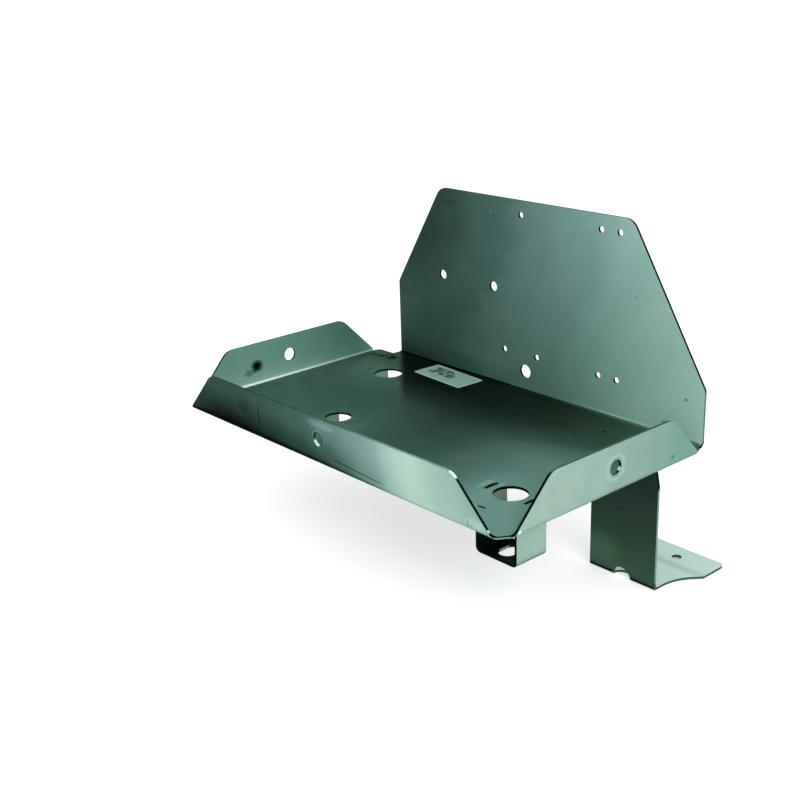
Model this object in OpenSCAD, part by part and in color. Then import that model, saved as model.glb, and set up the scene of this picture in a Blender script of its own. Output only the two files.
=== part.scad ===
// Battery tray: one folded sheet with a high rear wall and three low flanges, carried on three
// U-shaped feet and one tall leg. The tray is drawn with the outside corner of its left and front
// folds at X = 0 and Y = 0 and its underside at Z = 0, and is then moved so that the axis of the
// leg's bolt hole meets the underside of the leg's foot plate at the origin.

/* [Sheet] */
// Thickness of the sheet steel
sheet = 2; // [1.5:0.1:2.5]
// Inside radius of the folds of the tray and the feet
fold_r = 2; // [1:0.5:3]

/* [Tray] */
// Outside length of the tray between its side folds
tray_l = 350; // [320:5:420]
// Outside depth of the tray, from its front fold to the front face of the wall
tray_d = 208.2; // [200:1:260]
// Slant height of the three flanges, from the outside corner of the fold
flange_h = 35.7; // [30:0.5:50]
// How far the flanges lean outwards, in degrees
flange_lean = 2; // [0:0.5:6]
// Radius of the top corners of the flanges
flange_corner_r = 13; // [4:1:16]
// Distance of the front flange's bevels from the ends of the tray, at the fold
front_bevel_start = 7.8; // [5:0.1:14]
// Run of the front flange's bevels for each millimetre of height
front_bevel_run = 0.96; // [0.6:0.02:1.2]
// Distance of the side flanges' front bevels from the front fold, at the fold
side_bevel_start = 9.8; // [6:0.1:14]
// Run of the side flanges' front bevels for each millimetre of height
side_bevel_run = 0.93; // [0.6:0.02:1.2]
// Distance from the wall's front face to the rear end of the side folds
side_rear_gap = 13.2; // [11:0.1:20]
// Run of the side flanges' rear bevels for each millimetre of height
rear_bevel_run = 0.99; // [0.6:0.01:1.2]
// Diameter of the hole in each flange
flange_hole_d = 11; // [6:0.5:16]
// Height of the side flanges' holes up the slant
side_hole_h = 19; // [15:0.5:22]
// Distance of the side flanges' holes from the front fold
side_hole_y = 104.7; // [80:0.5:130]
// Height of the front flange's hole up the slant
front_hole_h = 19.8; // [15:0.1:22]
// Distance of the front flange's hole from the left fold
front_hole_x = 174.3; // [140:0.1:200]

/* [Wall] */
// Height of the wall above the underside of the floor
wall_h = 154.5; // [120:0.5:200]
// Distance of the wall's left edge from the left fold
wall_left_gap = 26; // [20:0.5:40]
// Distance of the wall's right edge from the right fold
wall_right_gap = 5.6; // [4.5:0.1:12]
// Width of the left bevel at the top of the wall
wall_left_bevel = 53.7; // [30:0.1:80]
// Width of the right bevel at the top of the wall
wall_right_bevel = 67.5; // [30:0.1:90]
// Height at which the left bevel starts
wall_left_knee = 67.6; // [45:0.1:100]
// Height at which the right bevel starts
wall_right_knee = 42.8; // [30:0.1:80]
// Radius of the two top corners of the wall
wall_corner_r = 12; // [4:1:20]
// Radius of the two knees of the wall
wall_knee_r = 6; // [2:1:12]

/* [Wall holes] */
// Diameter of the two large fixing holes at the left
pair_hole_d = 8; // [5:0.5:10]
// Spacing of the two large fixing holes
pair_spacing = 58.4; // [50:0.1:70]
// Distance of the first large fixing hole from the wall's left edge
pair_x = 55.4; // [40:0.1:70]
// Height of the two large fixing holes
pair_z = 81.9; // [60:0.1:100]
// Diameter of the small screw holes
screw_hole_d = 5; // [3:0.5:6]
// Distance of the middle column of screw holes from the wall's left edge
column_x = 143.4; // [130:0.1:150]
// Spacing of the two lower screw holes of the middle column
column_spacing = 34.6; // [24:0.1:44]
// Height of the lower row of screw holes
screw_low_z = 32.3; // [25:0.1:50]
// Height of the upper row of screw holes
screw_high_z = 143.3; // [110:0.1:148]
// Distance of the middle of the screw hole rectangle from the wall's right edge
block_gap = 87; // [70:0.1:100]
// Width of the screw hole rectangle
block_spacing = 17.4; // [12:0.1:24]
// Diameter of the cable hole
cable_hole_d = 11; // [6:0.5:14]
// Distance of the cable hole from the wall's left edge
cable_hole_x = 148.9; // [140:0.1:155]
// Height of the cable hole
cable_hole_z = 18.2; // [15:0.1:22]

/* [Feet] */
// Outside width of each foot
foot_w = 37.4; // [32:0.2:50]
// Depth of each foot
foot_d = 28.2; // [24:0.2:36]
// Height of the front right foot below the floor
foot_h = 41.2; // [30:0.2:60]
// Height of the two left feet below the floor
left_foot_h = 28; // [20:0.2:40]
// Width of the slot in the bottom of each foot
foot_slot_w = 12.3; // [8:0.1:14]
// Length of the slot in the bottom of each foot
foot_slot_l = 18.8; // [16:0.1:22]
// Diameter of the spanner holes in the floor above the front right and rear left feet
access_hole_d = 24; // [18:0.5:27]
// Diameter of the spanner hole in the floor above the front left foot
front_left_hole_d = 20.6; // [16:0.2:27]
// Distance of the front right foot from the right fold
front_right_x = 45.5; // [40:0.1:70]
// Distance of the front right foot from the front fold
front_right_y = 55.3; // [40:0.1:70]
// Distance of the front left foot from the left fold
front_left_x = 111.7; // [100:0.1:130]
// Distance of the front left foot from the front fold
front_left_y = 66.6; // [45:0.1:90]
// Distance of the rear left foot from the left fold
rear_left_x = 60.9; // [40:0.1:80]
// Distance of the rear left foot from the wall's front face
rear_left_y = 46; // [40:0.1:60]
// Width of the tabs that lock the feet and the leg into the floor
tab_w = 12; // [8:0.5:14]
// Clearance round each tab in its slot
tab_gap = 0.2; // [0.1:0.05:0.4]

/* [Leg] */
// Width of the leg
leg_w = 58; // [50:1:66]
// Height of the leg below the floor
leg_h = 89.5; // [60:0.5:120]
// Distance of the leg's front face from the wall's front face
leg_y = 56.4; // [50:0.1:70]
// Inside radius of the leg's bottom fold
leg_fold_r = 0.5; // [0.5:0.5:2]
// Height of the tapers at the top corners of the leg
leg_taper_h = 10.2; // [6:0.1:16]
// Width of the tapers at the top corners of the leg
leg_taper_w = 2.1; // [1:0.1:6]
// Diameter of the relief hole in the middle of the leg's bottom fold
leg_relief_d = 16; // [10:1:20]
// Distance between the middles of the leg's two tabs
leg_tab_spacing = 32; // [20:1:36]
// Length of the foot plate behind the leg's front face
plate_l = 64.4; // [56:0.2:80]
// How far the foot plate widens to the right
plate_flare = 14; // [6:0.5:20]
// Radius of the curve that widens the foot plate
plate_flare_r = 38; // [24:1:50]
// Distance from the leg's front face to the start of that curve
plate_flare_y = 9.7; // [6:0.1:14]
// Radius of the rear right corner of the foot plate
plate_corner_r = 5; // [1:0.5:8]
// Distance from the leg's front face to the small step in the foot plate
step_y = 35.5; // [34:0.1:38]
// Length of the slope of that step
step_l = 6; // [4:0.5:8]
// Height of that step
step_h = 0.6; // [0.2:0.1:1]
// Diameter of the bolt hole in the foot plate
bolt_hole_d = 7; // [4:0.5:9]
// Distance of the bolt hole from the leg's right edge
bolt_hole_x = 17.6; // [14:0.1:24]
// Distance of the bolt hole from the leg's front face
bolt_hole_y = 49.8; // [48:0.1:52]

/* [Label] */
// Length of the paper label on the floor
label_l = 57.2; // [40:0.2:70]
// Width of the paper label
label_w = 27; // [16:0.5:30]
// Thickness of the paper label
label_t = 0.2; // [0.1:0.05:0.4]
// Corner radius of the paper label
label_r = 1.5; // [0.5:0.5:4]
// Distance of the label's middle from the left fold
label_x = 103.7; // [60:0.1:140]
// Distance of the label's middle from the wall's front face
label_y = 17.4; // [17:0.1:30]
// Turn of the label, in degrees
label_turn = -3.5; // [-5:0.5:5]

/* [Hidden] */
$fn = 96;
// Extra length of a cutter past the face it starts from
past = 1;
// Extra radius that makes a rounded corner's arc cross the straight edges beside it
crossing = 0.001;
// Straight pieces that the end of a bevelled fold is made of, and how far in degrees the cuts that
// make them overlap each other and the edge of the floor
fold_parts = 3;
fold_overlap = 0.5;
floor_overlap = 6;
steel = [0.56, 0.63, 0.61];
paper = [0.80, 0.83, 0.78];
flange_turn = 90 - flange_lean;
fold_out = fold_r + sheet;
flange_setback = setback(flange_turn, fold_r);
flange_arc = fold_arc(flange_turn, fold_r);
side_fold_rear = tray_d - side_rear_gap;
wall_back = tray_d + sheet;
wall_x = [wall_left_gap, tray_l - wall_right_gap];
// The wall's fold is a little longer than the wall at its left end, and shorter at its right
wall_fold_x = [wall_x[0] - 3.2, wall_x[1] - 0.6];
// Rear edge of the floor beside the wall's fold, and the radius of its left corner
ear_y = tray_d - 6.9;
ear_r = 5;
screw_x = wall_x[0] + column_x;
block_x = wall_x[1] - block_gap;
foot_at = [
    [tray_l - front_right_x, front_right_y],
    [front_left_x, front_left_y],
    [rear_left_x, tray_d - rear_left_y]
];
foot_heights = [foot_h, left_foot_h, left_foot_h];
access_holes = [access_hole_d, front_left_hole_d, access_hole_d];
foot_tab_x = foot_w / 2 - sheet / 2;
leg_x = tray_l - leg_w;
leg_front = tray_d - leg_y;
leg_middle = leg_x + leg_w / 2;
leg_out = leg_fold_r + sheet;
bolt_hole = [tray_l - bolt_hole_x, leg_front + bolt_hole_y];
origin = [bolt_hole[0], bolt_hole[1], -leg_h + step_h];

// Distance from the outside corner of a fold to where the flat sheet begins
function setback(turn, r) = (r + sheet) * tan(turn / 2);
// Length of the sheet inside a fold, along its middle
function fold_arc(turn, r) = turn * PI / 180 * (r + sheet / 2);
function unit(v) = v / norm(v);

// The part of a polygon's corner p, between its neighbours a and b, that lies outside an arc of radius r
module corner_waste(a, p, b, r) {
    u = unit(a - p);
    v = unit(b - p);
    half = acos(u * v) / 2;
    middle = p + unit(u + v) * r / sin(half);
    touch_u = p + u * r / tan(half);
    touch_v = p + v * r / tan(half);
    difference() {
        polygon([
            middle,
            middle + (touch_u - middle) * 1.2,
            p + (p - middle) * 0.5,
            middle + (touch_v - middle) * 1.2
        ]);
        translate(middle) circle(r + crossing);
    }
}

// A polygon whose outward corners are rounded, each to its own radius
module rounded(points, radii) {
    n = len(points);
    difference() {
        polygon(points);
        for (i = [0 : n - 1])
            if (radii[i] > 0)
                corner_waste(points[(i + n - 1) % n], points[i], points[(i + 1) % n], radii[i]);
    }
}

// A square-ended fold along X with its outside corner on the X axis. The floor lies towards +Y and
// the sheet turns straight up. Bars inside the sheet tie the fold to the floor and to the upright.
module square_fold(r, ends) {
    out = r + sheet;
    translate([0, out, out])
        rotate([90, 0, 90])
            rotate(180)
                rotate_extrude(angle = 90)
                    translate([r, ends[0]])
                        square([sheet, ends[1] - ends[0]]);
    for (tie = [[out - sheet / 4, sheet / 4], [sheet / 4, out - sheet / 4]])
        translate([ends[0] + past, tie[0], tie[1]])
            cube([ends[1] - ends[0] - 2 * past, sheet / 2, sheet / 2]);
}

// Section of a fold and the plate that rises from it, in Y and Z, with its outside corner at 0, 0
module fold_section(turn, h) {
    away = [-cos(turn), sin(turn)];
    inward = [sin(turn), cos(turn)];
    root = [fold_out, 0];
    inside = sheet * [tan(turn / 2), 1];
    tip = h * away;
    difference() {
        union() {
            polygon([[0, 0], root, root + [0, sheet], inside, tip + sheet * inward, tip]);
            corner_waste(inside + [fold_out, 0], inside, tip + sheet * inward, fold_r);
        }
        corner_waste(root, [0, 0], tip, fold_out);
    }
}

// Waste beyond the bevelled ends of a fold. low and high are the X of its two ends, where it leaves
// the floor and where the plate begins, and each end runs straight between them along the sheet.
module fold_waste(turn, low, high) {
    step = turn / fold_parts;
    reach = [min(low[0], high[0]) - 2 * past, max(low[1], high[1]) + 2 * past];
    run = (high - low) / fold_arc(turn, fold_r);
    for (i = [0 : fold_parts - 1]) {
        mid = low + (high - low) * (i + 0.5) / fold_parts;
        translate([0, setback(turn, fold_r), fold_out])
            intersection() {
                rotate([90, 0, 90])
                    rotate(-90 - (i + 1) * step - fold_overlap)
                        rotate_extrude(angle = step + (i == 0 ? floor_overlap : 0) + 2 * fold_overlap)
                            translate([fold_r / 2, reach[0]])
                                square([sheet + fold_r, reach[1] - reach[0]]);
                rotate([180 - (i + 0.5) * step, 0, 0])
                    linear_extrude(height = 2 * fold_out)
                        for (end = [0, 1])
                            if (low[end] != high[end]) polygon([
                                [mid[end] - run[end] * fold_out, -fold_out],
                                [mid[end] + run[end] * fold_out, fold_out],
                                [reach[end], fold_out],
                                [reach[end], -fold_out]
                            ]);
            }
    }
}

// A fold along X with the plate that rises from it. The plate's outline is given in X and slant height,
// and starts a little below the end of the fold. A bar inside the sheet ties the fold to the floor.
module lip(turn, h, low, high) {
    reach = [
        low[0] == high[0] ? low[0] : min(low[0], high[0]) - past,
        low[1] == high[1] ? low[1] : max(low[1], high[1]) + past
    ];
    difference() {
        translate([reach[0], 0, 0])
            rotate([90, 0, 90])
                linear_extrude(height = reach[1] - reach[0]) fold_section(turn, h);
        fold_waste(turn, low, high);
        rotate([180 - turn, 0, 0])
            translate([0, 0, -sheet - past])
                linear_extrude(height = sheet + 2 * past)
                    difference() {
                        translate([reach[0] - past, setback(turn, fold_r) - 0.05])
                            square([reach[1] - reach[0] + 2 * past, h]);
                        children();
                    }
    }
    translate([max(low[0], high[0]) + past, fold_out - sheet / 4, sheet / 4])
        cube([min(low[1], high[1]) - max(low[0], high[0]) - 2 * past, sheet / 2, sheet / 2]);
}

// A flange with its fold. start is the X of its two ends at the outside corner, run how fast each
// bevel moves inwards with height, straight says which ends of the fold are cut square, and hole is
// the place of the flange's hole in X and slant height.
module flange(start, run, straight, hole) {
    low_run = [straight[0] ? 0 : run[0], straight[1] ? 0 : run[1]];
    high = [start[0] + run[0] * flange_setback, start[1] - run[1] * flange_setback];
    low = [high[0] - low_run[0] * flange_arc, high[1] + low_run[1] * flange_arc];
    difference() {
        lip(flange_turn, flange_h, low, high)
            rounded([
                [start[0], 0],
                [start[1], 0],
                [start[1] - run[1] * flange_h, flange_h],
                [start[0] + run[0] * flange_h, flange_h]
            ], [0, 0, flange_corner_r, flange_corner_r]);
        rotate([180 - flange_turn, 0, 0])
            translate([hole[0], hole[1], -sheet - past])
                cylinder(h = sheet + 2 * past, d = flange_hole_d);
    }
}

// Distance of the front fold's ends from the ends of the tray, and of the side folds' front ends from
// the front fold, where each section meets the floor
floor_back = flange_arc + fold_out - 2 * flange_setback;
front_low = front_bevel_start - front_bevel_run * floor_back;
side_low = side_bevel_start - side_bevel_run * floor_back;

module side_flange() {
    flange(
        [side_bevel_start, side_fold_rear + rear_bevel_run * flange_setback],
        [side_bevel_run, rear_bevel_run],
        [false, true],
        [side_hole_y, side_hole_h]
    );
}

module floor_outline() {
    right = tray_l - fold_out;
    rear = wall_back - fold_out;
    rounded([
        [front_low, fold_out],
        [tray_l - front_low, fold_out],
        [right, side_low],
        [right, ear_y],
        [wall_fold_x[1], rear],
        [wall_fold_x[0], rear],
        [wall_fold_x[0], ear_y],
        [fold_out, ear_y],
        [fold_out, side_low]
    ], [0, 0, 0, 0, 0, 0, 0, ear_r, 0]);
}

module wall_outline() {
    rounded([
        [wall_x[0], 0],
        [wall_x[1], 0],
        [wall_x[1], wall_right_knee],
        [wall_x[1] - wall_right_bevel, wall_h],
        [wall_x[0] + wall_left_bevel, wall_h],
        [wall_x[0], wall_left_knee]
    ], [0, 0, wall_knee_r, wall_corner_r, wall_corner_r, wall_knee_r]);
}

// A drilling through the wall at one place, or at several
module wall_drill(x, z, d) {
    translate([x, wall_back + past, z])
        rotate([90, 0, 0])
            cylinder(h = sheet + 2 * past, d = d);
}

module wall_holes() {
    for (i = [0, 1])
        wall_drill(wall_x[0] + pair_x + i * pair_spacing, pair_z, pair_hole_d);
    wall_drill(screw_x, screw_high_z, screw_hole_d);
    for (side = [-1, 1]) {
        wall_drill(screw_x + side * column_spacing / 2, screw_low_z, screw_hole_d);
        for (z = [screw_low_z, screw_high_z])
            wall_drill(block_x + side * block_spacing / 2, z, screw_hole_d);
    }
    wall_drill(wall_x[0] + cable_hole_x, cable_hole_z, cable_hole_d);
}

// The slot in the floor that one tab comes up through
module tab_slot(size) {
    translate([-size[0] / 2 - tab_gap, -size[1] / 2 - tab_gap, -past])
        cube([size[0] + 2 * tab_gap, size[1] + 2 * tab_gap, sheet + 2 * past]);
}

module floor_openings() {
    for (i = [0 : 2])
        translate([foot_at[i][0], foot_at[i][1], 0]) {
            translate([0, 0, -past]) cylinder(h = sheet + 2 * past, d = access_holes[i]);
            for (side = [-1, 1])
                translate([side * foot_tab_x, 0, 0]) tab_slot([sheet, tab_w]);
        }
    for (side = [-1, 1])
        translate([leg_middle + side * leg_tab_spacing / 2, leg_front + sheet / 2, 0])
            tab_slot([tab_w, sheet]);
}

module tray_body() {
    difference() {
        linear_extrude(height = sheet) floor_outline();
        floor_openings();
    }
    flange(
        [front_bevel_start, tray_l - front_bevel_start],
        [front_bevel_run, front_bevel_run],
        [false, false],
        [front_hole_x, front_hole_h]
    );
    mirror([1, -1, 0]) side_flange();
    translate([tray_l, 0, 0]) rotate(90) side_flange();
    difference() {
        translate([0, wall_back, 0])
            mirror([0, 1, 0])
                lip(90, wall_h, wall_fold_x, wall_x) wall_outline();
        wall_holes();
    }
}

// A foot of height h: a U with its open ends to the front and rear, a slot in its bottom and a tab on
// each wall
module foot_body(h) {
    flat = foot_w / 2 - fold_out;
    slot_half = (foot_slot_l - foot_slot_w) / 2;
    difference() {
        translate([-flat, -foot_d / 2, -h]) cube([2 * flat, foot_d, sheet]);
        translate([0, 0, -h - past]) {
            translate([-foot_slot_w / 2, -slot_half, 0])
                cube([foot_slot_w, 2 * slot_half, sheet + 2 * past]);
            for (side = [-1, 1])
                translate([0, side * slot_half, 0])
                    cylinder(h = sheet + 2 * past, d = foot_slot_w);
        }
    }
    for (turned = [0, 180])
        rotate(turned) {
            translate([foot_w / 2, 0, -h])
                rotate(90)
                    square_fold(fold_r, [-foot_d / 2, foot_d / 2]);
            translate([foot_w / 2 - sheet, -foot_d / 2, -h + fold_out])
                cube([sheet, foot_d, h - fold_out]);
            translate([foot_w / 2 - sheet, -tab_w / 2, 0])
                cube([sheet, tab_w, sheet]);
        }
}

module leg_upright_outline() {
    polygon([
        [leg_x, -leg_h + leg_out],
        [tray_l, -leg_h + leg_out],
        [tray_l, -leg_taper_h],
        [tray_l - leg_taper_w, 0],
        [leg_x + leg_taper_w, 0],
        [leg_x, -leg_taper_h]
    ]);
    for (side = [-1, 1])
        translate([leg_middle + side * leg_tab_spacing / 2 - tab_w / 2, 0])
            square([tab_w, sheet]);
}

// The foot plate seen from above, from the fold's end to its rear edge
module leg_plate_outline() {
    side_y = leg_front + plate_flare_y + sqrt(pow(plate_flare_r, 2) - pow(plate_flare_r - plate_flare, 2));
    wide = tray_l + plate_flare;
    front = leg_front + leg_out;
    rear = leg_front + plate_l;
    difference() {
        rounded(
            [[leg_x, front], [wide, front], [wide, rear], [leg_x, rear]],
            [0, 0, plate_corner_r, 0]
        );
        translate([tray_l, front - past])
            square([plate_flare + past, leg_front + plate_flare_y - front + past]);
        intersection() {
            translate([tray_l + plate_flare_r, leg_front + plate_flare_y]) circle(plate_flare_r);
            translate([tray_l, leg_front + plate_flare_y])
                square([plate_flare + past, side_y - leg_front - plate_flare_y]);
        }
        translate(bolt_hole) circle(d = bolt_hole_d);
    }
}

// The foot plate seen from the side, in Y and Z, with its small step up
module leg_plate_profile() {
    front = leg_front + leg_out;
    rise = [
        [front, 0], [leg_front + step_y, 0],
        [leg_front + step_y + step_l, step_h], [leg_front + plate_l, step_h]
    ];
    polygon([
        for (p = rise) p + [0, -leg_h],
        for (i = [3 : -1 : 0]) rise[i] + [0, sheet - leg_h]
    ]);
}

module leg_body() {
    relief = leg_relief_d / 2;
    difference() {
        union() {
            translate([0, leg_front + sheet, 0])
                rotate([90, 0, 0])
                    linear_extrude(height = sheet) leg_upright_outline();
            translate([0, leg_front, -leg_h])
                square_fold(leg_fold_r, [leg_x, tray_l]);
            intersection() {
                translate([0, 0, -leg_h - past])
                    linear_extrude(height = sheet + step_h + 2 * past) leg_plate_outline();
                translate([leg_x - past, 0, 0])
                    rotate([90, 0, 90])
                        linear_extrude(height = leg_w + plate_flare + 2 * past) leg_plate_profile();
            }
        }
        translate([leg_middle, leg_front - past, -leg_h])
            rotate([-90, 0, 0])
                cylinder(h = leg_out + past, r = relief);
        translate([leg_middle, leg_front, -leg_h - past])
            cylinder(h = leg_out + past, r = relief);
    }
}

module label_body() {
    l = label_l / 2;
    w = label_w / 2;
    translate([label_x, tray_d - label_y, sheet])
        rotate(label_turn)
            linear_extrude(height = label_t)
                rounded([[-l, -w], [l, -w], [l, w], [-l, w]], [for (i = [0 : 3]) label_r]);
}

module placed() {
    translate(-origin) children();
}

module tray() {
    color(steel) placed() tray_body();
}

module foot(i) {
    color(steel) placed() translate([foot_at[i][0], foot_at[i][1], 0]) foot_body(foot_heights[i]);
}

module leg() {
    color(steel) placed() leg_body();
}

module label() {
    color(paper) placed() label_body();
}

tray();
foot(0);  // foot_front_right
foot(1);  // foot_front_left
foot(2);  // foot_rear_left
leg();
label();
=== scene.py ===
"""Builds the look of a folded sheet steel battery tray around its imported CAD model."""

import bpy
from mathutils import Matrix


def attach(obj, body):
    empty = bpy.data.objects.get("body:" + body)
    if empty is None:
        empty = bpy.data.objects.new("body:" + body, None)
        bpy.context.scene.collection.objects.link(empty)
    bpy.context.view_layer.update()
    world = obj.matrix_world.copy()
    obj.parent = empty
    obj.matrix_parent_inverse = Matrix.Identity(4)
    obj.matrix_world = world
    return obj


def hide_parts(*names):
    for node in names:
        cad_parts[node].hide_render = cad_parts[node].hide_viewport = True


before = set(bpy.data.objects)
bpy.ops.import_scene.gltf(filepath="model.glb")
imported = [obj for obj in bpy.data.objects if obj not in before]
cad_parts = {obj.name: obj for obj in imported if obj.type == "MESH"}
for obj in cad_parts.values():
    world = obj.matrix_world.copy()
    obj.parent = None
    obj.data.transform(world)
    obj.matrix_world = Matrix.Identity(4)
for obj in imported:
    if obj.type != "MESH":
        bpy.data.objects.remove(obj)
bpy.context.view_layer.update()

import math
from types import SimpleNamespace

import bmesh
import bpy
from mathutils import Matrix, Vector
from mathutils.geometry import tessellate_polygon

bl_info = {
    "name": "Battery tray builder",
    "version": (1, 0, 0),
    "blender": (4, 5, 0),
    "location": "View3D > Sidebar > Tray",
    "description": "Builds a folded sheet steel battery tray with its feet, leg and paper label",
    "category": "Object",
}

MM = 0.001
# The row frame's origin, in the tray's own millimetres: the leg's bolt hole, at its plate's underside
ORIGIN = Vector((332.4, 201.6, -88.9))
FOLD_ROWS = 12
CIRCLE_POINTS = 56
STEP_ROWS = 8
EDGE_SOFTENING = 0.22 * MM


# Settings


class TraySettings(bpy.types.PropertyGroup):
    """Sizes of the folded tray."""

    sheet: bpy.props.FloatProperty(
        name="Sheet", description="Thickness of the sheet", default=2.0 * MM, unit="LENGTH"
    )
    fold_r: bpy.props.FloatProperty(
        name="Fold radius", description="Inside radius of the folds", default=2.0 * MM, unit="LENGTH"
    )
    length: bpy.props.FloatProperty(
        name="Length",
        description="Outside length between the side folds",
        default=350.0 * MM,
        unit="LENGTH",
    )
    depth: bpy.props.FloatProperty(
        name="Depth",
        description="From the front fold to the wall's front face",
        default=208.2 * MM,
        unit="LENGTH",
    )
    flange_h: bpy.props.FloatProperty(
        name="Flange height", description="Slant height of the flanges", default=35.7 * MM, unit="LENGTH"
    )
    flange_lean: bpy.props.FloatProperty(
        name="Flange lean",
        description="How far the flanges lean outwards",
        default=math.radians(2.0),
        subtype="ANGLE",
    )
    flange_corner_r: bpy.props.FloatProperty(
        name="Flange corner radius",
        description="Radius of the flanges' top corners",
        default=13.0 * MM,
        unit="LENGTH",
    )
    wall_h: bpy.props.FloatProperty(
        name="Wall height", description="Height of the rear wall", default=154.5 * MM, unit="LENGTH"
    )
    access_d: bpy.props.FloatProperty(
        name="Spanner hole",
        description="Diameter of two of the floor's holes above the feet",
        default=24.0 * MM,
        unit="LENGTH",
    )
    small_access_d: bpy.props.FloatProperty(
        name="Small spanner hole",
        description="Diameter of the one above the front left foot",
        default=20.6 * MM,
        unit="LENGTH",
    )


class FootSettings(bpy.types.PropertyGroup):
    """Sizes of the three feet."""

    width: bpy.props.FloatProperty(
        name="Width", description="Outside width of a foot", default=37.4 * MM, unit="LENGTH"
    )
    depth: bpy.props.FloatProperty(
        name="Depth", description="Depth of a foot", default=28.2 * MM, unit="LENGTH"
    )
    height: bpy.props.FloatProperty(
        name="Height", description="Height of the front right foot", default=41.2 * MM, unit="LENGTH"
    )
    left_height: bpy.props.FloatProperty(
        name="Left height", description="Height of the two left feet", default=28.0 * MM, unit="LENGTH"
    )
    slot_w: bpy.props.FloatProperty(
        name="Slot width",
        description="Width of the slot in the bottom",
        default=12.3 * MM,
        unit="LENGTH",
    )
    slot_l: bpy.props.FloatProperty(
        name="Slot length",
        description="Length of the slot in the bottom",
        default=18.8 * MM,
        unit="LENGTH",
    )
    tab_w: bpy.props.FloatProperty(
        name="Tab width", description="Width of the tabs in the floor", default=12.0 * MM, unit="LENGTH"
    )


class LegSettings(bpy.types.PropertyGroup):
    """Sizes of the leg."""

    width: bpy.props.FloatProperty(
        name="Width", description="Width of the leg", default=58.0 * MM, unit="LENGTH"
    )
    height: bpy.props.FloatProperty(
        name="Height", description="Height below the floor", default=89.5 * MM, unit="LENGTH"
    )
    plate_l: bpy.props.FloatProperty(
        name="Plate length", description="Length of the foot plate", default=64.4 * MM, unit="LENGTH"
    )
    flare: bpy.props.FloatProperty(
        name="Flare", description="How far the foot plate widens", default=14.0 * MM, unit="LENGTH"
    )
    flare_r: bpy.props.FloatProperty(
        name="Flare radius", description="Radius of the widening curve", default=38.0 * MM, unit="LENGTH"
    )
    step_h: bpy.props.FloatProperty(
        name="Step", description="Height of the plate's small step", default=0.6 * MM, unit="LENGTH"
    )


class FinishSettings(bpy.types.PropertyGroup):
    """Colours of the paper label."""

    paper: bpy.props.FloatVectorProperty(
        name="Paper", description="Colour of the paper", subtype="COLOR", default=(0.25, 0.455, 0.41)
    )
    print_ink: bpy.props.FloatVectorProperty(
        name="Print", description="Colour of the bars", subtype="COLOR", default=(0.012, 0.035, 0.035)
    )


def in_mm(settings):
    """The settings of a group by name, with each length in millimetres."""
    values = {}
    for name, kind in settings.bl_rna.properties.items():
        if kind.type == "FLOAT":
            value = getattr(settings, name)
            values[name] = value / MM if kind.unit == "LENGTH" else value
    return SimpleNamespace(**values)


# Sheet geometry, in the tray's own millimetres


def setback(turn, r):
    """Distance from a fold's outside corner to where the flat sheet begins."""
    return r * math.tan(turn / 2)


def rounded(points, radii, segments=10):
    """The corners of a polygon, with each one that has a radius turned into an arc."""
    result = []
    count = len(points)
    for i, (point, radius) in enumerate(zip(points, radii)):
        corner = Vector(point)
        if radius <= 0:
            result.append(tuple(corner))
            continue
        before = (Vector(points[i - 1]) - corner).normalized()
        after = (Vector(points[(i + 1) % count]) - corner).normalized()
        half = before.angle(after) / 2
        middle = corner + (before + after).normalized() * radius / math.sin(half)
        first = corner + before * radius / math.tan(half) - middle
        last = corner + after * radius / math.tan(half) - middle
        sweep = first.angle_signed(last)
        for step in range(segments + 1):
            turned = first.copy()
            turned.rotate(Matrix.Rotation(-sweep * step / segments, 2))
            result.append(tuple(middle + turned))
    return result


def circle(x, y, diameter, points=CIRCLE_POINTS):
    """A round hole's outline."""
    return [
        (
            x + diameter / 2 * math.cos(math.tau * i / points),
            y + diameter / 2 * math.sin(math.tau * i / points),
        )
        for i in range(points)
    ]


def slot_outline(x, y, width, length, points=16):
    """A slot's outline, with its round ends towards -Y and +Y."""
    outline = []
    straight = (length - width) / 2
    for end in (1, -1):
        for i in range(points + 1):
            angle = math.pi * i / points + (0 if end > 0 else math.pi)
            along = y + end * straight + width / 2 * math.sin(angle)
            outline.append((x + width / 2 * math.cos(angle), along))
    return outline


def box_outline(x, y, width, depth):
    """A rectangular slot's outline."""
    return [
        (x - width / 2, y - depth / 2),
        (x + width / 2, y - depth / 2),
        (x + width / 2, y + depth / 2),
        (x - width / 2, y + depth / 2),
    ]


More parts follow.
